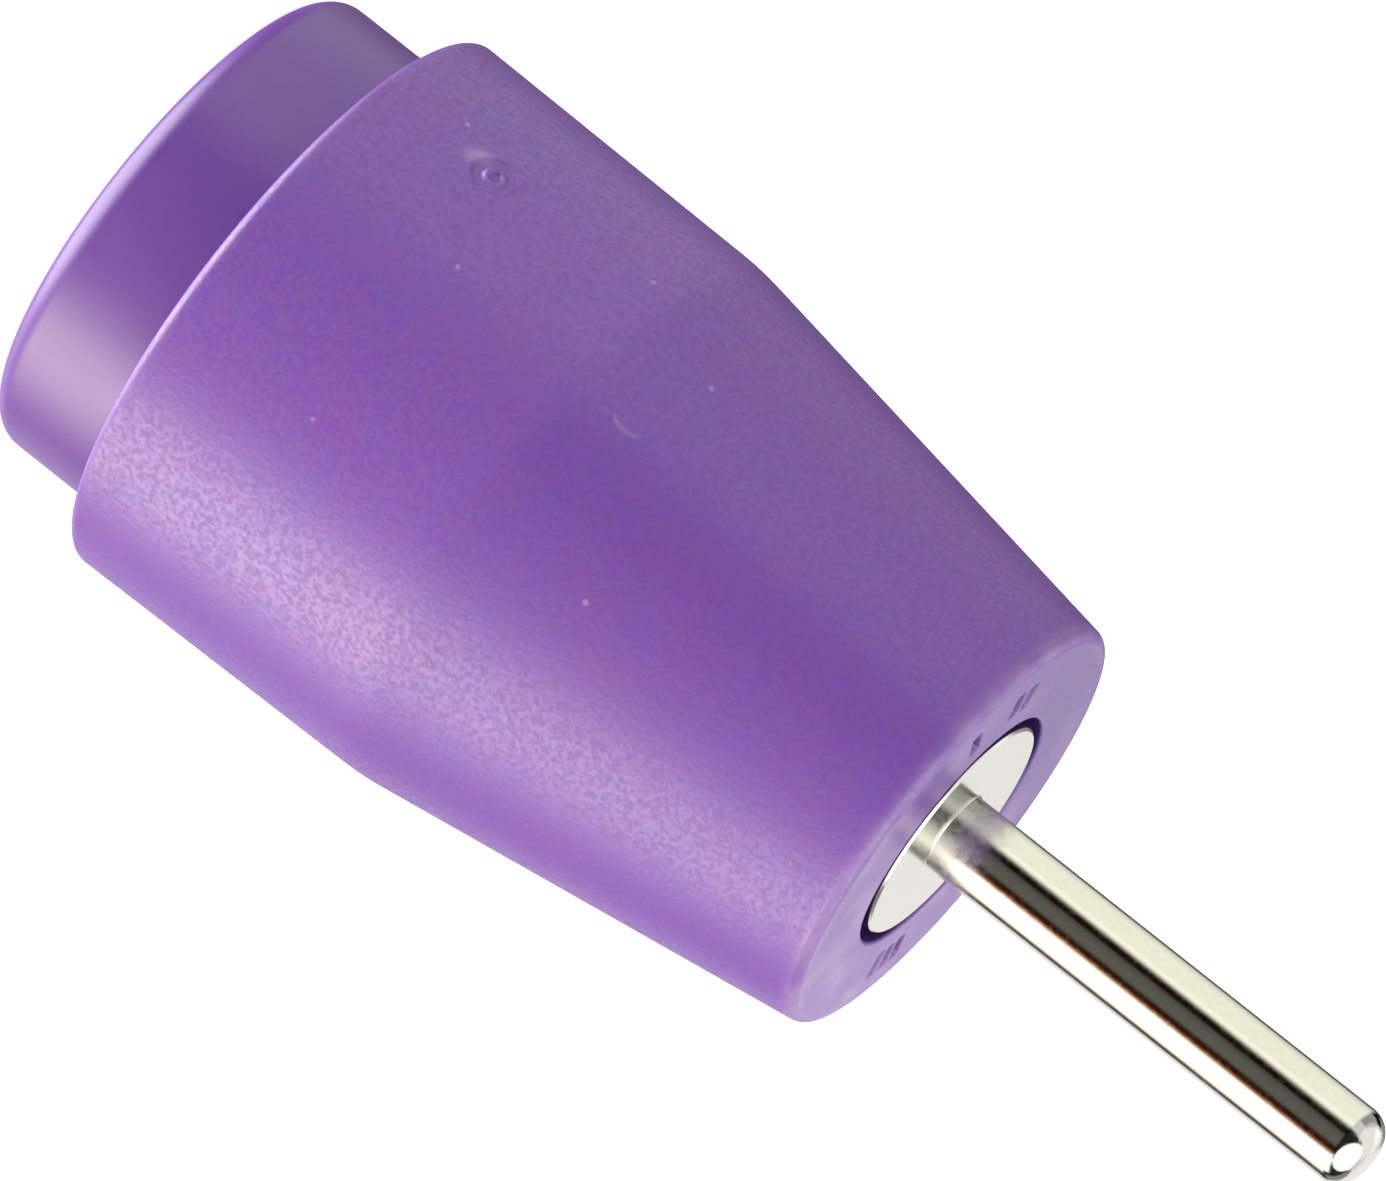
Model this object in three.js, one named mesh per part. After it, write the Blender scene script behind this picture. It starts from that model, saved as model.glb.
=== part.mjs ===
// Insulated test adapter: a 4 mm shrouded socket at the rear becomes a 2 mm pin at the front.
// Millimetres, +Z along the axis from the rear mouth to the pin's tip. The origin is the
// centre of the rear face, so the adapter stands on its rear face.
import * as THREE from "three";

// Driving dimensions
const PIN_RADIUS = 1.0;            // 2 mm test pin
const PIN_TIP_ROUND = 0.7;         // edge radius of the pin's free end
const SOCKET_BORE = 2.0;           // 4 mm socket bore, as a radius
const CONTACT_RADIUS = 2.95;       // turned contact body
const CHANNEL_RADIUS = 4.15;       // shroud channel for the plug's 8 mm sheath
const COLLAR_RADIUS = 6.4;         // smooth rear collar
const GRIP_REAR_RADIUS = 7.55;
const GRIP_BREAK_RADIUS = 7.42;    // where the near-cylinder turns into the taper
const GRIP_FRONT_RADIUS = 5.62;
const FRONT_HOLE_RADIUS = 3.22;

// Heights along the axis
const SHOULDER_Z = 3.4;            // rear end of the grip
const CONTACT_REAR_Z = 4.6;        // contact set back from the mouth, out of a finger's reach
const STEP_Z = 11.5;               // where the inner sleeve narrows
const BREAK_Z = 11.9;
const CHANNEL_END_Z = 18.5;
const BORE_END_Z = 20.3;
const SLEEVE_FRONT_Z = 21.0;
const RING_Z = 21.15;
const WALL_Z = 22.2;               // inside of the grip's front wall
const FRONT_Z = 23.6;
const DISK_Z = 23.62;              // contact's front disk, all but flush with the grip
const TIP_Z = 35.95;

// Small details
const COLLAR_ROUND = 0.65;
const GRIP_REAR_ROUND = 0.25;
const GRIP_FRONT_ROUND = 0.3;
const BREAK_BLEND = 0.5;           // half the length of the blend at the break
const MOUTH_CHAMFER = 0.4;
const LEAD_IN = 0.3;               // entry cone of the socket bore
const DISK_CHAMFER = 0.12;
const FIT_GAP = 0.02;              // radial clearance between fitted pieces
const END_GAP = 0.05;              // axial clearance between fitted pieces
const SLEEVE_NOSE_RADIUS = 5.2;
const FLANGE_RADIUS = 3.7;
const FLANGE_THICKNESS = 0.7;
const GROOVE_RADIUS = 2.6;
const RING_OUTER_RADIUS = 4.3;
const RING_THICKNESS = 0.5;
const RING_GAP_DEG = 36;
const RING_SPACE_RADIUS = 4.7;
const BEAD_Z = 9.0;                // snap bead that locks the grip to the sleeve
const BEAD_HALF = 0.5;
const BEAD_HEIGHT = 0.16;

const FACETS = 48;

const violetGrained = new THREE.MeshStandardMaterial({ color: 0x7b4a9e, roughness: 0.55, metalness: 0 });
const violetSmooth = new THREE.MeshStandardMaterial({ color: 0x75449b, roughness: 0.4, metalness: 0 });
const nickel = new THREE.MeshStandardMaterial({ color: 0xd9d7cc, roughness: 0.12, metalness: 1 });
const springSteel = new THREE.MeshStandardMaterial({ color: 0x6f7276, roughness: 0.35, metalness: 1 });

const at = (radius, height) => new THREE.Vector2(radius, height);

// Arc of a profile about the centre (radius, height); 0 degrees points outwards, 90 forwards
function arc(centreRadius, centreHeight, size, startDeg, endDeg, steps = 4) {
  return Array.from({ length: steps + 1 }, (_, index) => {
    const angle = THREE.MathUtils.degToRad(startDeg + ((endDeg - startDeg) * index) / steps);
    return at(centreRadius + size * Math.cos(angle), centreHeight + size * Math.sin(angle));
  });
}

// Turns a profile about +Z: outside upwards, then over the front, then down the inside
function turned(name, profile, material) {
  const geometry = new THREE.LatheGeometry(profile, FACETS);
  geometry.rotateX(Math.PI / 2);
  const mesh = new THREE.Mesh(geometry, material);
  mesh.name = name;
  return mesh;
}

const ring = (profile) => [...profile, profile[0].clone()];

// Grained outer shell, pushed over the sleeve from the front
function gripShell() {
  const taper = Math.atan2(GRIP_BREAK_RADIUS - GRIP_FRONT_RADIUS, FRONT_Z - BREAK_Z);
  const draft = Math.atan2(GRIP_REAR_RADIUS - GRIP_BREAK_RADIUS, BREAK_Z - SHOULDER_Z);
  const draftDeg = THREE.MathUtils.radToDeg(draft);
  const taperDeg = THREE.MathUtils.radToDeg(taper);
  const blendStart = at(GRIP_BREAK_RADIUS + BREAK_BLEND * Math.sin(draft), BREAK_Z - BREAK_BLEND);
  const blendEnd = at(GRIP_BREAK_RADIUS - BREAK_BLEND * Math.sin(taper), BREAK_Z + BREAK_BLEND);
  const blend = new THREE.QuadraticBezierCurve(blendStart, at(GRIP_BREAK_RADIUS, BREAK_Z), blendEnd);
  const boreRadius = COLLAR_RADIUS + FIT_GAP;
  const noseBore = SLEEVE_NOSE_RADIUS + FIT_GAP;
  const frontRoundCentre = GRIP_FRONT_RADIUS - GRIP_FRONT_ROUND;
  return turned("grip_shell", ring([
    at(boreRadius, SHOULDER_Z),
    ...arc(GRIP_REAR_RADIUS - GRIP_REAR_ROUND, SHOULDER_Z + GRIP_REAR_ROUND, GRIP_REAR_ROUND, -90, draftDeg),
    ...blend.getPoints(4),
    ...arc(frontRoundCentre, FRONT_Z - GRIP_FRONT_ROUND, GRIP_FRONT_ROUND, taperDeg, 90),
    at(FRONT_HOLE_RADIUS, FRONT_Z),
    at(FRONT_HOLE_RADIUS, WALL_Z),
    at(RING_SPACE_RADIUS, WALL_Z),
    at(RING_SPACE_RADIUS, SLEEVE_FRONT_Z + END_GAP),
    at(noseBore, SLEEVE_FRONT_Z + END_GAP),
    at(noseBore, STEP_Z + END_GAP),
    at(boreRadius, STEP_Z + END_GAP),
    at(boreRadius, BEAD_Z + BEAD_HALF),
    at(boreRadius + BEAD_HEIGHT, BEAD_Z),
    at(boreRadius, BEAD_Z - BEAD_HALF),
  ]), violetGrained);
}

// Smooth inner sleeve: its rear end is the visible collar, its neck holds the contact
function socketInsulator() {
  const neckRadius = CONTACT_RADIUS + FIT_GAP;
  return turned("socket_insulator", ring([
    at(CHANNEL_RADIUS + MOUTH_CHAMFER, 0),
    ...arc(COLLAR_RADIUS - COLLAR_ROUND, COLLAR_ROUND, COLLAR_ROUND, -90, 0),
    at(COLLAR_RADIUS, BEAD_Z - BEAD_HALF),
    at(COLLAR_RADIUS + BEAD_HEIGHT, BEAD_Z),
    at(COLLAR_RADIUS, BEAD_Z + BEAD_HALF),
    at(COLLAR_RADIUS, STEP_Z),
    at(SLEEVE_NOSE_RADIUS, STEP_Z),
    at(SLEEVE_NOSE_RADIUS, SLEEVE_FRONT_Z),
    at(neckRadius, SLEEVE_FRONT_Z),
    at(neckRadius, CHANNEL_END_Z),
    at(CHANNEL_RADIUS, CHANNEL_END_Z),
    at(CHANNEL_RADIUS, MOUTH_CHAMFER),
  ]), violetSmooth);
}

// Turned contact: 4 mm bore at the rear, stop flange, ring groove and front disk
function contactSocket() {
  const flangeFront = CHANNEL_END_Z - END_GAP;
  const flangeRear = flangeFront - FLANGE_THICKNESS;
  const pinBore = PIN_RADIUS + FIT_GAP;
  return turned("contact_socket", ring([
    at(SOCKET_BORE + LEAD_IN, CONTACT_REAR_Z),
    at(CONTACT_RADIUS - LEAD_IN, CONTACT_REAR_Z),
    at(CONTACT_RADIUS, CONTACT_REAR_Z + LEAD_IN),
    at(CONTACT_RADIUS, flangeRear),
    at(FLANGE_RADIUS, flangeRear),
    at(FLANGE_RADIUS, flangeFront),
    at(CONTACT_RADIUS, flangeFront),
    at(CONTACT_RADIUS, RING_Z - END_GAP),
    at(GROOVE_RADIUS, RING_Z - END_GAP),
    at(GROOVE_RADIUS, RING_Z + RING_THICKNESS + END_GAP),
    at(CONTACT_RADIUS, RING_Z + RING_THICKNESS + END_GAP),
    at(CONTACT_RADIUS, DISK_Z - DISK_CHAMFER),
    at(CONTACT_RADIUS - DISK_CHAMFER, DISK_Z),
    at(pinBore, DISK_Z),
    at(pinBore, BORE_END_Z),
    at(SOCKET_BORE, BORE_END_Z),
    at(SOCKET_BORE, CONTACT_REAR_Z + LEAD_IN),
  ]), nickel);
}

// Solid pin, its rear end pressed into the contact's front wall
function plugPin() {
  return turned("plug_pin", [
    at(0, BORE_END_Z),
    at(PIN_RADIUS, BORE_END_Z),
    ...arc(PIN_RADIUS - PIN_TIP_ROUND, TIP_Z - PIN_TIP_ROUND, PIN_TIP_ROUND, 0, 90, 6),
    at(0, TIP_Z),
  ], nickel);
}

// Open snap ring in the contact's groove, in front of the sleeve's neck
function retainingRing() {
  const half = THREE.MathUtils.degToRad(RING_GAP_DEG / 2);
  const outline = new THREE.Shape();
  outline.absarc(0, 0, RING_OUTER_RADIUS, half, 2 * Math.PI - half, false);
  outline.absarc(0, 0, GROOVE_RADIUS + END_GAP, 2 * Math.PI - half, half, true);
  const extrusion = { depth: RING_THICKNESS, bevelEnabled: false, curveSegments: 28 };
  const mesh = new THREE.Mesh(new THREE.ExtrudeGeometry(outline, extrusion), springSteel);
  mesh.name = "retaining_ring";
  mesh.position.z = RING_Z;
  return mesh;
}

const group = new THREE.Group();
group.add(gripShell(), socketInsulator(), contactSocket(), plugPin(), retainingRing());

export default group;
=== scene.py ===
import math

import bpy
import numpy as np
from mathutils import Matrix, Vector


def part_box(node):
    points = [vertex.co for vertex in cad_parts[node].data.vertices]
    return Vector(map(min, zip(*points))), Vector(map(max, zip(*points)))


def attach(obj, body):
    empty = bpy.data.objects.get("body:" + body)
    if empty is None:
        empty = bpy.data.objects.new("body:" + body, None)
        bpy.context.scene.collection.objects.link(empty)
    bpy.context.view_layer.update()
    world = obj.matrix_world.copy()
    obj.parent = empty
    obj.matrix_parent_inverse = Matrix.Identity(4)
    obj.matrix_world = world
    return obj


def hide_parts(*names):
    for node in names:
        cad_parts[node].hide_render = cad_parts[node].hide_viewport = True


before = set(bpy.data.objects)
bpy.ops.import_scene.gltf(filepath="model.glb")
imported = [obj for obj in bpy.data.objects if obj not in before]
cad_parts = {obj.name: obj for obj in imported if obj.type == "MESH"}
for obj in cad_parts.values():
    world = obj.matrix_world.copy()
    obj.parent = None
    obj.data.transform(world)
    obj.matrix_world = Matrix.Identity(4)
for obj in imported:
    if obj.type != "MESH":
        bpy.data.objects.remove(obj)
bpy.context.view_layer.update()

# Insulated test adapter: a shrouded 4 mm socket behind, a 2 mm pin in front, standing on its
# rear face with its axis on +Z. Lengths below are in millimetres and become metres in one
# place, turned(). Angles about the axis are in degrees, 0 towards -Y and 90 towards +X.
MM = 0.001

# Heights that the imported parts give
SHOULDER_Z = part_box("grip_shell")[0].z / MM
FRONT_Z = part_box("grip_shell")[1].z / MM
SLEEVE_FRONT_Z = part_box("socket_insulator")[1].z / MM
CONTACT_REAR_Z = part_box("contact_socket")[0].z / MM
DISK_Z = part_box("contact_socket")[1].z / MM
PIN_REAR_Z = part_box("plug_pin")[0].z / MM
TIP_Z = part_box("plug_pin")[1].z / MM
RING_REAR_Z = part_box("retaining_ring")[0].z / MM
RING_FRONT_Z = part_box("retaining_ring")[1].z / MM

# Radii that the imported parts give
GRIP_REAR_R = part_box("grip_shell")[1].x / MM
PIN_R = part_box("plug_pin")[1].x / MM
FLANGE_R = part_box("contact_socket")[1].x / MM

# Radii and heights inside the boxes
GRIP_BREAK_R, GRIP_BREAK_Z = 7.42, 11.9
GRIP_FRONT_R = 5.62
HOLE_R = 3.22
COLLAR_R = 6.4
NOSE_R = 5.2
CHANNEL_R = 4.15
CONTACT_R = 2.95
BORE_R = 2.0
GROOVE_R = 2.6
RING_SPACE_R = 4.7
WALL_Z = 22.2
STEP_Z = 11.5
CHANNEL_END_Z = 18.5
FLANGE_Z = 17.75
BEAD_Z, BEAD_HALF, BEAD_HEIGHT = 9.0, 0.5, 0.16
FIT_GAP = 0.02
END_GAP = 0.05

# Edges
COLLAR_ROUND = 0.65
MOUTH_CHAMFER = 0.4
GRIP_REAR_ROUND = 0.25
GRIP_FRONT_ROUND = 0.3
GRIP_BREAK_ROUND = 7.5
HOLE_ROUND = 0.1
MOULD_ROUND = 0.06
DISK_CHAMFER = 0.06
LEAD_IN = 0.3
TURNED_ROUND = 0.03
ROOT_FILLET = 0.04
TIP_ROUND = 0.7

# Moulding marks on the grip: gate, smear behind it, a short scratch, and engraved ticks
GATE_ANGLE, GATE_Z = -44.4, 6.95
GATE_DIMPLE_R, GATE_DIMPLE_DEPTH, GATE_NUB_R, GATE_NUB_HEIGHT = 0.62, 0.05, 0.22, 0.13
GATE_EDGE, GATE_NUB_WIDTH = 0.12, 0.075
SMEAR_ASIDE, SMEAR_DOWN, SMEAR_TURN, SMEAR_LENGTH, SMEAR_WIDTH = -0.2, -0.64, 133.0, 0.38, 0.22
SCRATCH_ANGLE, SCRATCH_Z, SCRATCH_HALF, SCRATCH_BOW, SCRATCH_WIDTH = -21.1, 13.3, 0.45, 0.13, 0.06
TICK_ANGLES = (-54.0, -47.0, -26.0, 126.0, 132.0, 138.0)
TICK_MIDDLE_R, TICK_LENGTH, TICK_WIDTH, TICK_DEPTH, TICK_EDGE = 4.3, 0.8, 0.18, 0.14, 0.1

# How pale each stress mark is, and how bright the painted highlights on the two rims are, from 0 to
# 1
PALE_SMEAR, PALE_NUB, PALE_SCRATCH, REAR_RIM_HIGHLIGHT, FRONT_RIM_HIGHLIGHT = 0.34, 0.15, 0.4, 0.25, 0.3

# Camera: a long lens, looking at the front of the standing adapter from a little above
CAMERA_AIM = (-0.645, 0.0, 15.33)
CAMERA_DISTANCE = 415.1
CAMERA_ELEVATION = 12.95
CAMERA_ROLL = 128.3
CAMERA_LENS = 469.8


# ---------------------------------------------------------------- surfaces

def outline(corners, closed=True, arc_step=7.0):
    """Rounds every corner (radius, height, size) of an outline that runs up its outside.

    Each arc is centre + side * size * n(angle), where the outward normal n turns evenly from
    one straight side's to the next one's. Returns points and outward normals, both (n, 2)."""
    points, normals = [], []
    count = len(corners)
    for index, (radius, height, size) in enumerate(corners):
        here = np.array((radius, height))
        if not closed and index in (0, count - 1):
            points.append(here[None])
            normals.append(np.array([[0.0, -1.0 if index == 0 else 1.0]]))
            continue
        before = np.array(corners[index - 1][:2])
        after = np.array(corners[(index + 1) % count][:2])
        arrive = (here - before) / np.linalg.norm(here - before)
        leave = (after - here) / np.linalg.norm(after - here)
        turn = math.atan2(arrive[0] * leave[1] - arrive[1] * leave[0], arrive @ leave)
        side = math.copysign(1.0, turn)
        normal = np.array((arrive[1], -arrive[0]))
        start = here - arrive * size * math.tan(abs(turn) / 2)
        centre = start - side * size * normal
        steps = max(3, math.ceil(math.degrees(abs(turn)) / arc_step))
        angle = np.linspace(0.0, turn, steps + 1)[:, None]
        turned_normal = normal * np.cos(angle) + np.array((-normal[1], normal[0])) * np.sin(angle)
        points.append(centre + side * size * turned_normal)
        normals.append(turned_normal)
    return np.concatenate(points), np.concatenate(normals)


def with_rows(points, normals, extra):
    """Adds profile rows at the distances along the profile listed in extra."""
    step = np.linalg.norm(np.diff(points, axis=0), axis=1)
    along = np.concatenate([[0.0], np.cumsum(step)])
    wanted = np.unique(np.concatenate([along, extra]).round(4))
    columns = [np.interp(wanted, along, column) for column in (*points.T, *normals.T)]
    return np.stack(columns[:2], 1), np.stack(columns[2:], 1)


def distance_along(points, radius, height):
    """Distance along the profile to its point nearest to (radius, height)."""
    step = np.linalg.norm(np.diff(points, axis=0), axis=1)
    along = np.concatenate([[0.0], np.cumsum(step)])
    return along[np.argmin(np.hypot(points[:, 0] - radius, points[:, 1] - height))]


def even_angles(count):
    return np.arange(count) * 360.0 / count


def turned(name, profile, angles, relief=None, marks=(), closed=True):
    """Turns a profile about +Z: x = r sin a, y = -r cos a, z = h, moved out along its normal by
    relief(r, h, a), where that is given. Normals are the profile's own, tilted by the relief's
    slope, and a point on the axis becomes one shared vertex. Each function in marks gives the
    mesh an attribute of its own name, again from r, h and a."""
    points, normals = profile
    if closed:
        points = np.concatenate([points, points[:1]])
        normals = np.concatenate([normals, normals[:1]])
    rows, columns = len(points), len(angles)
    turn = np.radians(angles)[None, :]
    outward = np.stack([np.sin(turn), -np.cos(turn), np.zeros_like(turn)], -1)
    sideways = np.stack([np.cos(turn), np.sin(turn), np.zeros_like(turn)], -1)
    upward = np.array((0.0, 0.0, 1.0))
    radius, height = points[:, 0, None, None], points[:, 1, None, None]
    face = normals[:, 0, None, None] * outward + normals[:, 1, None, None] * upward
    along = -normals[:, 1, None, None] * outward + normals[:, 0, None, None] * upward
    where = points[:, :1] + 0 * turn, points[:, 1:] + 0 * turn, angles[None, :]
    lift = np.zeros((rows, columns)) if relief is None else relief(*where)
    painted = {mark.__name__: mark(*where) for mark in marks}
    place = radius * outward + height * upward + lift[..., None] * face
    if relief is not None:
        step = np.linalg.norm(np.diff(points, axis=0), axis=1)
        travelled = np.concatenate([[0.0], np.cumsum(step)]) + np.arange(rows) * 1e-9
        around = np.concatenate([turn[0] - 2 * np.pi, turn[0], turn[0] + 2 * np.pi])
        slope_up = np.gradient(lift, travelled, axis=0)[..., None]
        slope_round = np.gradient(np.tile(lift, 3), around, axis=1)[:, columns:2 * columns, None]
        face = face - slope_up * along - slope_round / np.maximum(radius, 1e-6) * sideways
        face = face / np.linalg.norm(face, axis=-1, keepdims=True)
    if closed:
        rows -= 1
        place, face = place[:rows], face[:rows]
        painted = {key: value[:rows] for key, value in painted.items()}

    number = np.arange(rows * columns).reshape(rows, columns)
    if not closed:
        number[0], number[-1] = number[0, 0], number[-1, 0]
    last = rows if closed else rows - 1
    low = np.arange(last)
    high = (low + 1) % rows
    right = np.roll(np.arange(columns), -1)
    lower, upper = number[low], number[high]
    quads = np.stack([lower, lower[:, right], upper[:, right], upper], -1)
    used, compact = np.unique(quads, return_inverse=True)
    quads = compact.reshape(-1, 4)
    place = place.reshape(-1, 3)[used]
    face = face.reshape(-1, 3)[used]
    bottom = quads[:, 0] == quads[:, 1]
    top = quads[:, 2] == quads[:, 3]
    faces = quads[~bottom & ~top].tolist()
    faces += quads[bottom][:, 1:].tolist() + quads[top][:, :3].tolist()

    mesh = bpy.data.meshes.new(name)
    mesh.from_pydata((place * MM).tolist(), [], faces)
    mesh.shade_smooth()
    mesh.normals_split_custom_set_from_vertices(face.tolist())
    for key, value in painted.items():
        layer = mesh.attributes.new(key, "FLOAT", "POINT")
        layer.data.foreach_set("value", value.reshape(-1)[used].astype(np.float32))
    piece = bpy.data.objects.new(name, mesh)
    bpy.context.scene.collection.objects.link(piece)
    return piece


def smooth_step(value):
    """0 below 0, 1 above 1, and 3 v^2 - 2 v^3 between."""
    value = np.clip(value, 0.0, 1.0)
    return value * value * (3.0 - 2.0 * value)


# ---------------------------------------------------------------- pieces

def turned_from(angle, middle):
    """Angle from the middle, between -180 and 180."""
    return np.mod(angle - middle + 180.0, 360.0) - 180.0


def tick_bars(radius, height, angle):
    """1 in the engraved ticks, soft-edged bars on radii of the front wall, and 0 outside."""
    lengthwise = smooth_step((TICK_LENGTH / 2 - np.abs(radius - TICK_MIDDLE_R)) / TICK_EDGE)
    bars = np.zeros_like(radius)
    for tick in TICK_ANGLES:
        across = np.abs(np.radians(turned_from(angle, tick)) * radius)
        bars = np.maximum(bars, smooth_step((TICK_WIDTH - across) / TICK_EDGE))
    return bars * lengthwise * (height > FRONT_Z - 0.001)


def grip_relief(radius, height, angle):
    """Gate mark and engraved ticks. The gate is a shallow dimple, -depth * step(radius - d), with
    a torn ring in it, height * bump(d - ring) * (1 + sin), that is higher on one side."""
    across = np.radians(turned_from(angle, GATE_ANGLE)) * radius
    upward = height - GATE_Z
    away = np.hypot(across, upward)
    dimple = smooth_step((GATE_DIMPLE_R - away) / GATE_EDGE)
    torn = 0.65 + 0.35 * np.sin(np.arctan2(upward, across) - 2.4)
    nub = np.exp(-((away - GATE_NUB_R) / GATE_NUB_WIDTH) ** 2) * torn
    gate = (GATE_NUB_HEIGHT * nub - GATE_DIMPLE_DEPTH * dimple) * (radius > COLLAR_R + 0.1)
    return gate - TICK_DEPTH * tick_bars(radius, height, angle)


def painted_shade(radius, height, angle):
    """Painted shade: 1 in the engraved ticks and down the wall of the contact's hole, where shade
    falls in the recesses, and up to 0.4 on one side of the front wall, where less light falls."""
    # Painted shade down the wall of the hole, in the gap around the contact
    hole = smooth_step((FRONT_Z - 0.02 - height) / 0.05) * (radius < HOLE_R + HOLE_ROUND)
    # Painted shade, darker towards one side of the front wall
    side = 0.4 * (0.5 - 0.5 * np.sin(np.radians(angle))) * (height > FRONT_Z - 0.01)
    recess = np.maximum(tick_bars(radius, height, angle), hole * (height > WALL_Z - 0.1))
    return np.maximum(recess, side)


def whitening_and_sheen(radius, height, angle):
    """Pale stress marks and painted light: a smear behind the gate, its torn ring, a short scratch
    bowed as a parabola, painted highlights on the two rims, and painted sheen in patches on the
    front wall."""
    across = np.radians(turned_from(angle, GATE_ANGLE)) * radius
    upward = height - GATE_Z
    slant = math.radians(SMEAR_TURN)
    aside, down = across - SMEAR_ASIDE, upward - SMEAR_DOWN
    lengthwise = aside * math.cos(slant) + down * math.sin(slant)
    sideways = down * math.cos(slant) - aside * math.sin(slant)
    smear = np.exp(-(lengthwise / SMEAR_LENGTH) ** 4 - (sideways / SMEAR_WIDTH) ** 2)
    nub = np.exp(-((np.hypot(across, upward) - GATE_NUB_R) / 0.08) ** 2)
    up = (height - SCRATCH_Z) / SCRATCH_HALF
    aside = np.radians(turned_from(angle, SCRATCH_ANGLE)) * radius - SCRATCH_BOW * (0.5 - up * up)
    scratch = np.exp(-(aside / SCRATCH_WIDTH) ** 2) * smooth_step((1.0 - np.abs(up)) / 0.4)
    turn = np.radians(angle)
    # Painted highlight along the rear rim, stronger in some places round it
    rim_unevenness = 0.6 + 0.25 * np.sin(3 * turn + 1.0) + 0.15 * np.sin(11 * turn)
    rear = np.exp(-((height - SHOULDER_Z - 0.12) / 0.15) ** 2) * rim_unevenness
    # Painted highlight along the front rim
    front = np.exp(-(np.hypot(radius - GRIP_FRONT_R, height - FRONT_Z + 0.1) / 0.22) ** 2)
    outside = radius > COLLAR_R + 0.1
    mottle = np.sin(5 * turn + 0.7) * np.sin(2.6 * radius + 2 * turn)
    # Painted sheen on the front wall, brighter on one side and mottled
    patches = 0.12 + 0.16 * np.sin(turn) + 0.1 * mottle
    wall = patches * (height > FRONT_Z - 0.01) * (1.0 - tick_bars(radius, height, angle))
    skin = PALE_SMEAR * smear + PALE_NUB * nub + REAR_RIM_HIGHLIGHT * rear + PALE_SCRATCH * scratch
    return np.clip(outside * skin + FRONT_RIM_HIGHLIGHT * front + wall, 0.0, 1.0)


def smoothness(radius, height, angle):
    """1 on the front wall, where the mould is polished, and 0 on the grained skin."""
    return smooth_step((height - FRONT_Z + 0.06) / 0.05)


def grip_shell():
    """Grained outer shell: near-cylinder, taper, flat front wall with the contact's hole."""
    bore, nose = COLLAR_R + FIT_GAP, NOSE_R + FIT_GAP
    corners = [
        (bore, SHOULDER_Z, MOULD_ROUND),
        (GRIP_REAR_R, SHOULDER_Z, GRIP_REAR_ROUND),
        (GRIP_BREAK_R, GRIP_BREAK_Z, GRIP_BREAK_ROUND),
        (GRIP_FRONT_R, FRONT_Z, GRIP_FRONT_ROUND),
        (HOLE_R, FRONT_Z, HOLE_ROUND),
        (HOLE_R, WALL_Z, MOULD_ROUND),
        (RING_SPACE_R, WALL_Z, MOULD_ROUND),
        (RING_SPACE_R, SLEEVE_FRONT_Z + END_GAP, MOULD_ROUND),
        (nose, SLEEVE_FRONT_Z + END_GAP, MOULD_ROUND),
        (nose, STEP_Z + END_GAP, MOULD_ROUND),
        (bore, STEP_Z + END_GAP, MOULD_ROUND),
        (bore, BEAD_Z + BEAD_HALF, MOULD_ROUND),
        (bore + BEAD_HEIGHT, BEAD_Z, MOULD_ROUND),
        (bore, BEAD_Z - BEAD_HALF, MOULD_ROUND),
    ]
    points, normals = outline(corners)
    # Finer rows and columns where a mark or a painted rim highlight needs them. Columns are whole
    # multiples
    #     # of 3/8 degree, so the fine ones land exactly on the coarse ones.
    rear = distance_along(points, GRIP_REAR_R, SHOULDER_Z + GRIP_REAR_ROUND)
    front = distance_along(points, GRIP_FRONT_R - GRIP_FRONT_ROUND, FRONT_Z)
    gate = rear + GATE_Z - SHOULDER_Z - GRIP_REAR_ROUND
    scratch = rear + SCRATCH_Z - SHOULDER_Z - GRIP_REAR_ROUND
    extra = np.concatenate([
        rear + np.arange(0.0, 0.8, 0.08),
        gate + np.arange(-1.3, 0.9, 0.05),
        scratch + np.arange(-0.7, 0.7, 0.07),
        distance_along(points, GRIP_FRONT_R, FRONT_Z) - np.arange(0.2, 1.1, 0.1),
        front + np.arange(0.0, GRIP_FRONT_R - HOLE_R - 0.4, 0.06),
    ])
    coarse, fine = 2.25, 0.375
    angles = np.unique(np.concatenate([
        np.arange(-180.0, 180.0, coarse),
        np.arange(-60.0, -15.9, fine),
        np.arange(120.0, 144.1, fine),
    ]))
    marks = painted_shade, whitening_and_sheen, smoothness
    return turned("grip", with_rows(points, normals, extra), angles, grip_relief, marks)


def socket_sleeve():
    """Smooth inner sleeve: collar, snap bead, nose, neck and the channel for the plug's sheath."""
    neck = CONTACT_R + FIT_GAP
    corners = [
        (CHANNEL_R + MOUTH_CHAMFER, 0.0, MOULD_ROUND),
        (COLLAR_R, 0.0, COLLAR_ROUND),
        (COLLAR_R, BEAD_Z - BEAD_HALF, MOULD_ROUND),
        (COLLAR_R + BEAD_HEIGHT, BEAD_Z, MOULD_ROUND),
        (COLLAR_R, BEAD_Z + BEAD_HALF, MOULD_ROUND),
        (COLLAR_R, STEP_Z, MOULD_ROUND),
        (NOSE_R, STEP_Z, MOULD_ROUND),
        (NOSE_R, SLEEVE_FRONT_Z, MOULD_ROUND),
        (neck, SLEEVE_FRONT_Z, MOULD_ROUND),
        (neck, CHANNEL_END_Z, MOULD_ROUND),
        (CHANNEL_R, CHANNEL_END_Z, MOULD_ROUND),
        (CHANNEL_R, MOUTH_CHAMFER, MOULD_ROUND),
    ]
    return turned("collar_sleeve", outline(corners), even_angles(240))


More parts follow.
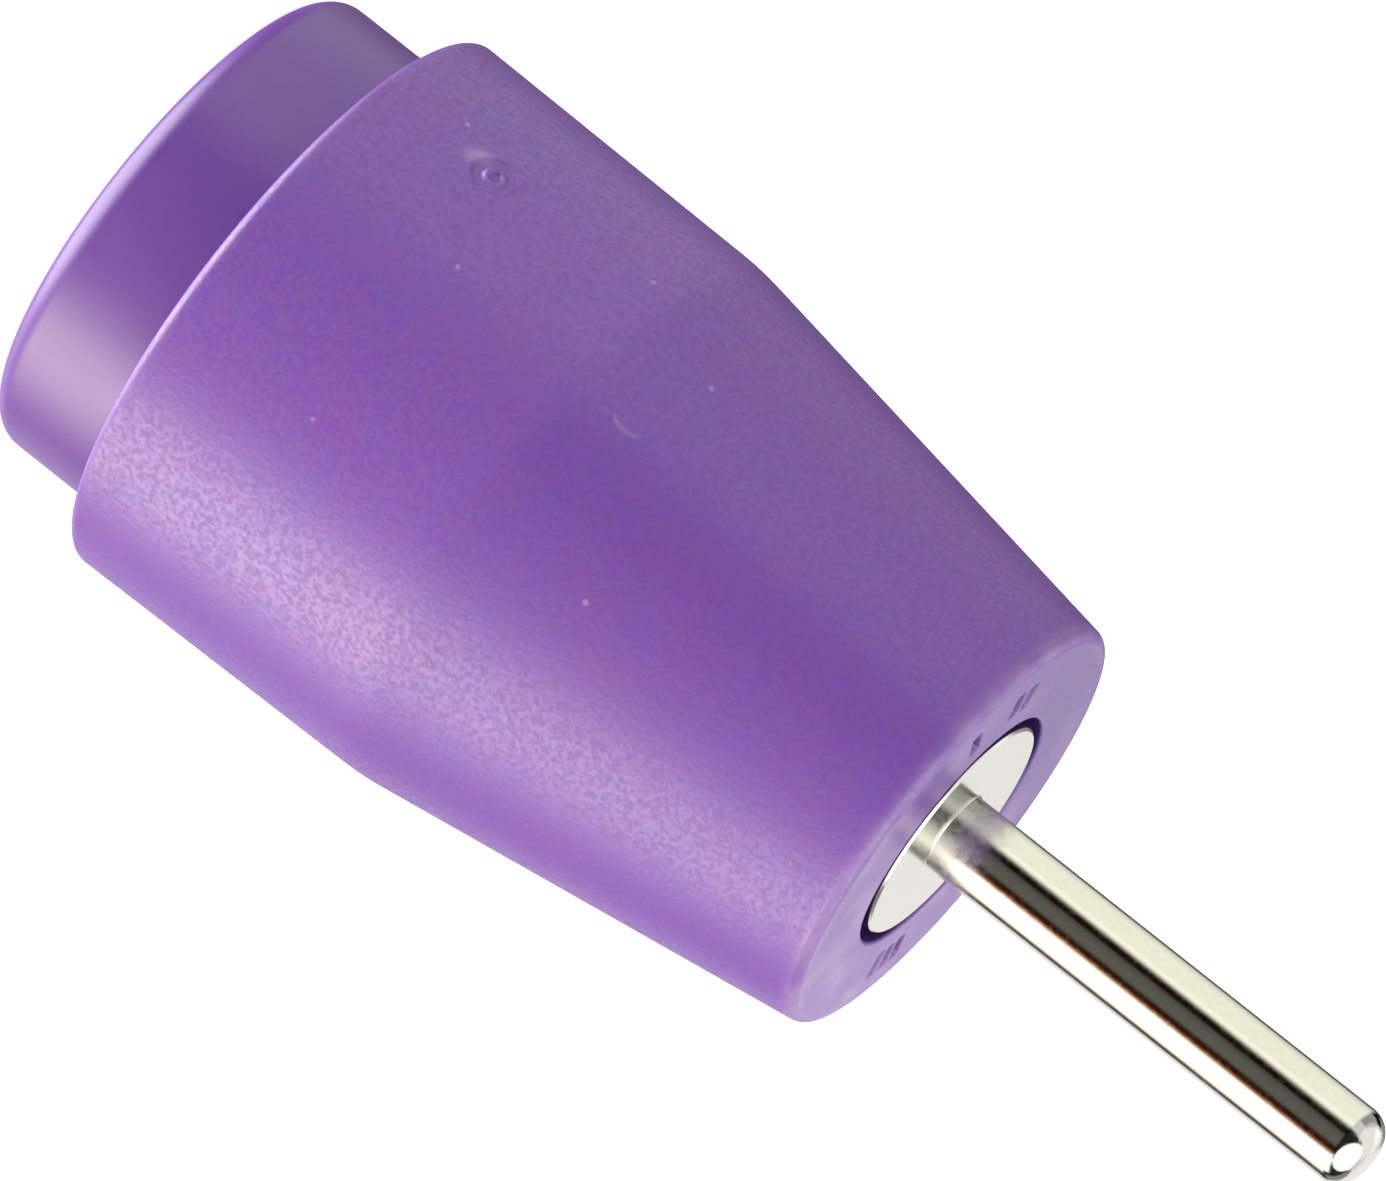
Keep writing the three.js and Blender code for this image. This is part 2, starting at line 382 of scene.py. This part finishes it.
def contact():
    """Turned contact: 4 mm bore behind, stop flange, ring groove, bright front disk."""
    flange_front = CHANNEL_END_Z - END_GAP
    pin_bore = PIN_R + FIT_GAP
    corners = [
        (BORE_R + LEAD_IN, CONTACT_REAR_Z, TURNED_ROUND),
        (CONTACT_R - LEAD_IN, CONTACT_REAR_Z, TURNED_ROUND),
        (CONTACT_R, CONTACT_REAR_Z + LEAD_IN, TURNED_ROUND),
        (CONTACT_R, FLANGE_Z, TURNED_ROUND),
        (FLANGE_R, FLANGE_Z, TURNED_ROUND),
        (FLANGE_R, flange_front, TURNED_ROUND),
        (CONTACT_R, flange_front, TURNED_ROUND),
        (CONTACT_R, RING_REAR_Z - END_GAP, TURNED_ROUND),
        (GROOVE_R, RING_REAR_Z - END_GAP, TURNED_ROUND),
        (GROOVE_R, RING_FRONT_Z + END_GAP, TURNED_ROUND),
        (CONTACT_R, RING_FRONT_Z + END_GAP, TURNED_ROUND),
        (CONTACT_R, DISK_Z - DISK_CHAMFER, TURNED_ROUND),
        (CONTACT_R - DISK_CHAMFER, DISK_Z, TURNED_ROUND),
        (pin_bore, DISK_Z, FIT_GAP),
        (pin_bore, PIN_REAR_Z, TURNED_ROUND),
        (BORE_R, PIN_REAR_Z, TURNED_ROUND),
        (BORE_R, CONTACT_REAR_Z + LEAD_IN, TURNED_ROUND),
    ]
    return turned("contact", outline(corners), even_angles(200))


def pin():
    """Solid pin with a rounded tip and a small fillet at its root, pressed into the contact."""
    root_r = PIN_R + ROOT_FILLET * 1.1
    corners = [
        (0.0, PIN_REAR_Z, 0.0),
        (PIN_R, PIN_REAR_Z, TURNED_ROUND),
        (PIN_R, DISK_Z, 0.002),
        (root_r, DISK_Z, 0.004),
        (root_r, DISK_Z + 0.01, 0.004),
        (PIN_R, DISK_Z + 0.01, ROOT_FILLET),
        (PIN_R, TIP_Z, TIP_ROUND),
        (0.0, TIP_Z, 0.0),
    ]
    profile = outline(corners, closed=False, arc_step=4.0)
    return turned("pin", profile, even_angles(160), closed=False)


# ---------------------------------------------------------------- materials

def linear(colour):
    """An sRGB hex colour such as 7b4aa0 as linear red, green, blue and alpha."""
    values = [int(colour[i:i + 2], 16) / 255.0 for i in (0, 2, 4)]
    return (*[v / 12.92 if v <= 0.04045 else ((v + 0.055) / 1.055) ** 2.4 for v in values], 1.0)


def feed(tree, node, inputs):
    """Gives each input a value, another node's output, or a node, for its first output."""
    for name, value in inputs.items():
        if isinstance(value, bpy.types.Node):
            value = value.outputs[0]
        if isinstance(value, bpy.types.NodeSocket):
            tree.links.new(value, node.inputs[name])
        else:
            node.inputs[name].default_value = value


def add(tree, kind, inputs=None, **settings):
    """Adds a node with its own settings, and feeds its inputs."""
    node = tree.nodes.new(kind)
    for name, value in settings.items():
        setattr(node, name, value)
    feed(tree, node, inputs or {})
    return node


def material(name):
    """A new material with its principled shader, and the object coordinates of its piece."""
    made = bpy.data.materials.new(name)
    made.use_nodes = True
    tree = made.node_tree
    shader = tree.nodes["Principled BSDF"]
    place = add(tree, "ShaderNodeTexCoord").outputs["Object"]
    return made, tree, shader, place


def grained_polyamide():
    """Violet polyamide from a spark-eroded mould: a satin skin of fine rounded grains that
    breaks a highlight into soft speckles, helped by a painted highlight that lightens each grain's
    top. The colour drifts a little between a bluer and a redder violet and goes pale where the
    material was stressed; it also carries painted highlights on the rims, painted sheen on the
    front wall, and painted shade in the recesses and on one side of the front wall.
    Real grains are nearer 0.05 mm, too fine to show, so they are drawn at 0.14 mm."""
    made, tree, shader, place = material("violet_polyamide_spark_grain")
    grain_size, patch_size, flow_size, speck_spacing = 0.14 * MM, 0.9 * MM, 5.0 * MM, 2.0 * MM
    grain = add(tree, "ShaderNodeTexNoise", {
        "Vector": place, "Scale": 1 / grain_size, "Detail": 2.0, "Roughness": 0.5})
    specks = add(tree, "ShaderNodeTexVoronoi", {"Vector": place, "Scale": 1 / speck_spacing})
    patch = add(tree, "ShaderNodeTexNoise", {
        "Vector": place, "Scale": 1 / patch_size, "Detail": 2.0, "Roughness": 0.5})
    flow = add(tree, "ShaderNodeTexNoise", {
        "Vector": place, "Scale": 1 / flow_size, "Detail": 2.0, "Roughness": 0.5})

    # Violet that drifts, with a painted highlight that makes the top of each grain a little
    # lighter, and painted shade in the recesses
    drift = add(tree, "ShaderNodeMath", {0: flow, 1: patch}, operation="ADD")
    hue = add(tree, "ShaderNodeMapRange", {"Value": drift, "From Min": 0.7, "From Max": 1.3})
    violet = add(tree, "ShaderNodeMix", {
        "Factor": hue, 6: linear("7346ac"), 7: linear("7c44a4")}, data_type="RGBA")
    # Painted highlight on the grain: lighter on its tops, darker between them
    light = add(tree, "ShaderNodeMapRange", {
        "Value": grain, "From Min": 0.3, "From Max": 0.7, "To Min": 0.9, "To Max": 1.1})
    toned = add(tree, "ShaderNodeVectorMath", {
        0: violet.outputs[2], "Scale": light}, operation="SCALE")
    # Painted shade: the recesses and one side of the front wall go towards deep violet 431474
    painted_shading = add(tree, "ShaderNodeAttribute", attribute_name="painted_shade")
    dark = add(tree, "ShaderNodeMix", {
        "Factor": painted_shading.outputs["Fac"], 6: toned, 7: linear("431474")}, data_type="RGBA")

    # Pale stress marks with painted highlights on the rims and painted sheen on the front wall,
    # broken up by the patches, and a pale speck here and there
    pale = add(tree, "ShaderNodeAttribute", attribute_name="whitening_and_sheen")
    torn = add(tree, "ShaderNodeMapRange", {
        "Value": patch, "From Min": 0.35, "From Max": 0.65, "To Min": 0.6, "To Max": 1.4})
    speck = add(tree, "ShaderNodeMapRange", {
        "Value": specks, "From Min": 0.03, "From Max": 0.045, "To Min": 0.4, "To Max": 0.0})
    paleness = add(tree, "ShaderNodeMath", {
        0: pale.outputs["Fac"], 1: torn, 2: speck}, operation="MULTIPLY_ADD", use_clamp=True)
    colour = add(tree, "ShaderNodeMix", {
        "Factor": paleness, 6: dark.outputs[2], 7: linear("c3a6cf")}, data_type="RGBA")

    # Grain in the gloss and the relief, but hardly any on the polished front wall
    gloss = add(tree, "ShaderNodeMapRange", {
        "Value": grain, "From Min": 0.38, "From Max": 0.62, "To Min": 0.52, "To Max": 0.36})
    flat = add(tree, "ShaderNodeAttribute", attribute_name="smoothness")
    skin = add(tree, "ShaderNodeMix", {"Factor": flat.outputs["Fac"], 2: gloss, 3: 0.34})
    rise = add(tree, "ShaderNodeMapRange", {
        "Value": flat.outputs["Fac"], "To Min": 0.6, "To Max": 0.08})
    bump = add(tree, "ShaderNodeBump", {"Height": grain, "Strength": rise, "Distance": 0.015 * MM})
    feed(tree, shader, {
        "Base Color": colour.outputs[2], "Roughness": skin, "Normal": bump,
        "IOR": 1.53, "Specular IOR Level": 1.0})
    return made


def smooth_polyamide():
    """The same violet polyamide from a smooth mould: a soft gloss with barely any grain."""
    made, tree, shader, place = material("violet_polyamide_smooth")
    flow_size, skin_size = 3.0 * MM, 0.12 * MM
    flow = add(tree, "ShaderNodeTexNoise", {"Vector": place, "Scale": 1 / flow_size, "Detail": 3.0})
    skin = add(tree, "ShaderNodeTexNoise", {"Vector": place, "Scale": 1 / skin_size, "Detail": 1.0})
    violet = add(tree, "ShaderNodeMix", {
        "Factor": flow, 6: linear("693a9a"), 7: linear("72409c")}, data_type="RGBA")
    gloss = add(tree, "ShaderNodeMapRange", {
        "Value": flow, "From Min": 0.3, "From Max": 0.7, "To Min": 0.36, "To Max": 0.42})
    bump = add(tree, "ShaderNodeBump", {"Height": skin, "Strength": 0.25, "Distance": 0.01 * MM})
    feed(tree, shader, {
        "Base Color": violet.outputs[2], "Roughness": gloss, "Normal": bump,
        "IOR": 1.53, "Specular IOR Level": 1.0})
    return made


def bright_nickel():
    """Bright nickel plate over turned brass, a warm near-white metal: polished on the pin, with
    a slight mottled haze and a duller root, and satin on the contact, whose face is as turned.
    The haze is drawn at 0.16 mm, as coarse as it needs to be to show."""
    made, tree, shader, place = material("bright_nickel_plate")
    haze_size = 0.16 * MM
    haze = add(tree, "ShaderNodeTexNoise", {"Vector": place, "Scale": 1 / haze_size, "Detail": 3.0})
    silver = add(tree, "ShaderNodeMix", {
        "Factor": haze, 6: linear("dddbd3"), 7: linear("ebe9e1")}, data_type="RGBA")
    part = add(tree, "ShaderNodeSeparateXYZ", {"Vector": place})
    across = add(tree, "ShaderNodeCombineXYZ", {"X": part.outputs["X"], "Y": part.outputs["Y"]})
    radius = add(tree, "ShaderNodeVectorMath", {0: across}, operation="LENGTH")
    contact_part = add(tree, "ShaderNodeMapRange", {
        "Value": radius.outputs["Value"],
        "From Min": (PIN_R + 0.01) * MM, "From Max": (PIN_R + 0.015) * MM})
    root = add(tree, "ShaderNodeMapRange", {
        "Value": part.outputs["Z"], "From Min": (DISK_Z + 0.8) * MM,
        "From Max": (DISK_Z + 1.6) * MM, "To Min": 0.22, "To Max": 0.0})
    dull = add(tree, "ShaderNodeMix", {"Factor": contact_part, 2: root, 3: 0.1})
    polish = add(tree, "ShaderNodeMapRange", {
        "Value": haze, "From Min": 0.35, "From Max": 0.65, "To Min": 0.04, "To Max": 0.15})
    gloss = add(tree, "ShaderNodeMath", {0: polish, 1: dull}, operation="ADD")
    feed(tree, shader, {"Base Color": silver.outputs[2], "Roughness": gloss, "Metallic": 1.0})
    return made


def spring_steel():
    """Tumbled spring steel: dark grey, evenly dull."""
    made, tree, shader, place = material("tumbled_spring_steel")
    wear_size = 0.3 * MM
    wear = add(tree, "ShaderNodeTexNoise", {"Vector": place, "Scale": 1 / wear_size, "Detail": 3.0})
    grey = add(tree, "ShaderNodeMix", {
        "Factor": wear, 6: linear("6a6c70"), 7: linear("85878a")}, data_type="RGBA")
    gloss = add(tree, "ShaderNodeMapRange", {
        "Value": wear, "From Min": 0.3, "From Max": 0.7, "To Min": 0.3, "To Max": 0.45})
    feed(tree, shader, {"Base Color": grey.outputs[2], "Roughness": gloss, "Metallic": 1.0})
    return made


# ---------------------------------------------------------------- studio

# The tent's wall, a band WALL_HEIGHT up and down from WALL_MIDDLE, by angle about the axis:
# (angle, brightness, tint). The dark stretch is the gap that the camera stands in.
BASE = 0.75
WALL_MIDDLE, WALL_HEIGHT, WALL_EDGE = -13.0, 10.0, 5.0
WHITE, CREAM, RUST, BLUSH, WARM = "ffffff", "fffff0", "ffa070", "ffe0dc", "fff4d2"
WALL = (
    (-180, 0.12, WHITE), (-152, 0.1, WHITE), (-144, 0.35, CREAM), (-136, 0.8, CREAM),
    (-112, 1.08, CREAM), (-60, 1.08, CREAM), (-49, 1.25, CREAM), (-42, 0.95, CREAM),
    (-36, 0.25, CREAM), (-30, 0.02, RUST), (-19, 0.012, RUST), (-14, 0.07, WHITE),
    (-8, 0.1, CREAM), (0, 0.12, CREAM), (16, 0.13, CREAM), (23, 0.1, CREAM), (28, 0.06, RUST),
    (32, 0.03, RUST), (39, 0.03, RUST), (46, 0.5, RUST), (51, 1.1, CREAM), (60, 1.4, CREAM),
    (112, 1.4, CREAM), (119, 0.5, BLUSH), (124, 0.12, BLUSH), (133, 0.1, BLUSH),
    (141, 0.9, WHITE), (172, 0.9, WHITE), (180, 0.2, WHITE),
)
# Windows of extra light, or less: (middle angle, half width, lowest, highest, edge, lean,
# brightness), where lean is how far the middle moves for each degree up from the wall's middle.
PANELS = {
    "camera": (53, 90, -40, 52, 4, 0.0, -0.73),
    "camera_column": (-10, 14, 52, 68, 4, -0.3, -0.7),
    "own_shadow": (-150, 26, -22, 24, 6, 0.0, -0.7),
    "table_shadow": (-122, 74, -80, -27, 6, 0.0, -0.65),
    "key_top": (82, 25, -5, 11, 3, 0.0, 1.4),
    "far_table": (180, 60, 3, 50, 5, 0.0, 0.26),
    "left_rim": (132, 24, -62, -26, 6, 0.0, 0.45),
    "side_gap": (-108, 36, -1, 30, 6, 0.0, -0.4),
    "under_front": (30, 35, -52, -25, 5, 0.0, 0.35),
}
# Round lights: (angle, height, radius, edge, brightness)
DISCS = {
    "front_light": (46, 51, 41, 3, 1.45),
    "upper_side": (-100, 60, 40, 5, 0.25),
    "rear_light": (10, -80, 36, 6, 4.4),
}
# The warm key light, another such window
KEY = (80, 20, -30, 3, 5, -0.75, 4.1)


def white_tent():
    """Light from all round, as in a white tent. A direction's brightness is a base level, or in
    the wall's band a ramp over the angle about the axis, plus panels, which are soft-edged
    windows of angle and height, plus round lights and one warm key light. The camera itself
    sees plain white behind the floor."""
    world = bpy.data.worlds.new("white_tent")
    world.use_nodes = True
    tree = world.node_tree
    tree.nodes.clear()
    white = linear(WHITE)

    # Angle about the axis and height above the horizon, in degrees
    direction = add(tree, "ShaderNodeTexCoord").outputs["Generated"]
    part = add(tree, "ShaderNodeSeparateXYZ", {"Vector": direction})
    front = add(tree, "ShaderNodeMath", {0: part.outputs["Y"], 1: -1.0}, operation="MULTIPLY")
    turn = add(tree, "ShaderNodeMath", {0: part.outputs["X"], 1: front}, operation="ARCTAN2")
    angle = add(tree, "ShaderNodeMath", {0: turn}, operation="DEGREES")
    rise = add(tree, "ShaderNodeMath", {0: part.outputs["Z"]}, operation="ARCSINE")
    height = add(tree, "ShaderNodeMath", {0: rise}, operation="DEGREES")

    def window(value, middle, half, edge):
        """1 within half of the middle, 0 beyond, with a smooth edge."""
        offset = add(tree, "ShaderNodeMath", {0: value, 1: middle}, operation="SUBTRACT")
        away = add(tree, "ShaderNodeMath", {0: offset}, operation="ABSOLUTE")
        return add(tree, "ShaderNodeMapRange", {
            "Value": away, "From Min": half + edge, "From Max": half - edge},
            interpolation_type="SMOOTHSTEP")

    def panel(centre, wide, low, high, edge, lean, brightness):
        """The brightness inside a leaning window of angle and height, and 0 outside it."""
        up = add(tree, "ShaderNodeMath", {0: height, 1: WALL_MIDDLE}, operation="SUBTRACT")
        leaning = add(tree, "ShaderNodeMath", {0: up, 1: -lean, 2: angle}, operation="MULTIPLY_ADD")
        off = add(tree, "ShaderNodeMath", {0: leaning, 1: centre}, operation="SUBTRACT")
        off = add(tree, "ShaderNodeMath", {0: off, 1: 180.0, 2: -180.0}, operation="WRAP")
        across = window(off, 0.0, wide, edge)
        upright = window(height, (low + high) / 2, (high - low) / 2, edge)
        both = add(tree, "ShaderNodeMath", {0: across, 1: upright}, operation="MULTIPLY")
        return add(tree, "ShaderNodeMath", {0: both, 1: brightness}, operation="MULTIPLY")

    # The wall
    along = add(tree, "ShaderNodeMapRange", {"Value": angle, "From Min": -180.0, "From Max": 180.0})
    ramp = add(tree, "ShaderNodeValToRGB", {"Fac": along})
    brightest = max(level for _, level, _ in WALL)
    elements = ramp.color_ramp.elements
    for index, (degrees, level, tint) in enumerate(WALL):
        element = elements[index] if index < 2 else elements.new((degrees + 180.0) / 360.0)
        element.position = (degrees + 180.0) / 360.0
        element.color = [part * level / brightest for part in linear(tint)[:3]] + [1.0]
    band = window(height, WALL_MIDDLE, WALL_HEIGHT, WALL_EDGE)
    strength = add(tree, "ShaderNodeMath", {0: band, 1: brightest}, operation="MULTIPLY")
    wall = add(tree, "ShaderNodeBackground", {"Color": ramp, "Strength": strength})

    # The base level outside it, the panels and the round lights
    level = add(tree, "ShaderNodeMath", {0: band, 1: -BASE, 2: BASE}, operation="MULTIPLY_ADD")
    for values in PANELS.values():
        level = add(tree, "ShaderNodeMath", {0: panel(*values), 1: level}, operation="ADD")
    level = add(tree, "ShaderNodeMath", {0: level, 1: 0.0}, operation="MAXIMUM")
    for centre, above, radius, edge, brightness in DISCS.values():
        round_by, up_by = math.radians(centre), math.radians(above)
        level_part = math.cos(up_by)
        axis = (math.sin(round_by) * level_part, -math.cos(round_by) * level_part, math.sin(up_by))
        near = add(tree, "ShaderNodeVectorMath", {0: direction, 1: axis}, operation="DOT_PRODUCT")
        apart = add(tree, "ShaderNodeMath", {0: near.outputs["Value"]}, operation="ARCCOSINE")
        apart = add(tree, "ShaderNodeMath", {0: apart}, operation="DEGREES")
        disc = window(apart, 0.0, radius, edge)
        level = add(tree, "ShaderNodeMath", {
            0: disc, 1: brightness, 2: level}, operation="MULTIPLY_ADD")
    lights = add(tree, "ShaderNodeBackground", {"Color": white, "Strength": level})
    key = add(tree, "ShaderNodeBackground", {"Color": linear(WARM), "Strength": panel(*KEY)})

    tent = add(tree, "ShaderNodeAddShader", {0: wall, 1: lights})
    tent = add(tree, "ShaderNodeAddShader", {0: tent, 1: key})
    plain = add(tree, "ShaderNodeBackground", {"Color": white, "Strength": 1.05})
    from_camera = add(tree, "ShaderNodeLightPath").outputs["Is Camera Ray"]
    seen = add(tree, "ShaderNodeMixShader", {0: from_camera, 1: tent, 2: plain})
    add(tree, "ShaderNodeOutputWorld", {"Surface": seen})
    bpy.context.scene.world = world


def pale_floor():
    """White table under the adapter, lit from within so that shadows on it stay faint. The
    pieces don't see it, and from below it is clear."""
    half = 3.0
    mesh = bpy.data.meshes.new("floor")
    ring = [(-half, -half, 0.0), (half, -half, 0.0), (half, half, 0.0), (-half, half, 0.0)]
    mesh.from_pydata(ring, [], [(0, 1, 2, 3)])
    floor = bpy.data.objects.new("floor", mesh)
    bpy.context.scene.collection.objects.link(floor)
    floor.location.z = -0.02 * MM
    made = bpy.data.materials.new("white_acrylic_table")
    made.use_nodes = True
    tree = made.node_tree
    tree.nodes.clear()
    matt = add(tree, "ShaderNodeBsdfDiffuse", {"Color": (0.9, 0.9, 0.9, 1.0)})
    glow = add(tree, "ShaderNodeEmission", {"Color": (1.0, 1.0, 1.0, 1.0), "Strength": 0.75})
    lit = add(tree, "ShaderNodeAddShader", {0: matt, 1: glow})
    clear = add(tree, "ShaderNodeBsdfTransparent")
    below = add(tree, "ShaderNodeNewGeometry").outputs["Backfacing"]
    both = add(tree, "ShaderNodeMixShader", {0: below, 1: lit, 2: clear})
    add(tree, "ShaderNodeOutputMaterial", {"Surface": both})
    mesh.materials.append(made)
    floor.visible_diffuse = False
    floor.visible_glossy = False
    floor.visible_transmission = False
    floor.visible_shadow = False


def long_lens_camera():
    """Looks at the aim from the -Y side, a little above, rolled so that the pin points down."""
    elevation, roll = math.radians(CAMERA_ELEVATION), math.radians(CAMERA_ROLL)
    towards = Vector((0.0, -math.cos(elevation), math.sin(elevation)))
    level = Vector((1.0, 0.0, 0.0))
    upright = towards.cross(level)
    right = level * math.cos(roll) + upright * math.sin(roll)
    up = upright * math.cos(roll) - level * math.sin(roll)
    data = bpy.data.cameras.new("camera")
    data.lens = CAMERA_LENS
    data.clip_start, data.clip_end = 0.01, 10.0
    camera = bpy.data.objects.new("camera", data)
    bpy.context.scene.collection.objects.link(camera)
    turn = Matrix((right, up, towards)).transposed().to_4x4()
    aim = Vector(CAMERA_AIM) * MM
    camera.matrix_world = Matrix.Translation(aim + towards * CAMERA_DISTANCE * MM) @ turn
    bpy.context.scene.camera = camera


def fit(piece, node, finish):
    """Puts a piece in the place of its CAD node."""
    piece.data.materials.append(finish)
    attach(piece, "root")
    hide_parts(node)


long_lens_camera()
white_tent()
pale_floor()
bpy.context.scene.view_settings.view_transform = "Standard"

nickel = bright_nickel()
fit(grip_shell(), "grip_shell", grained_polyamide())
fit(socket_sleeve(), "socket_insulator", smooth_polyamide())
fit(contact(), "contact_socket", nickel)
fit(pin(), "plug_pin", nickel)

# The ring keeps its CAD mesh
ring_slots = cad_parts["retaining_ring"].data.materials
ring_slots.clear()
ring_slots.append(spring_steel())
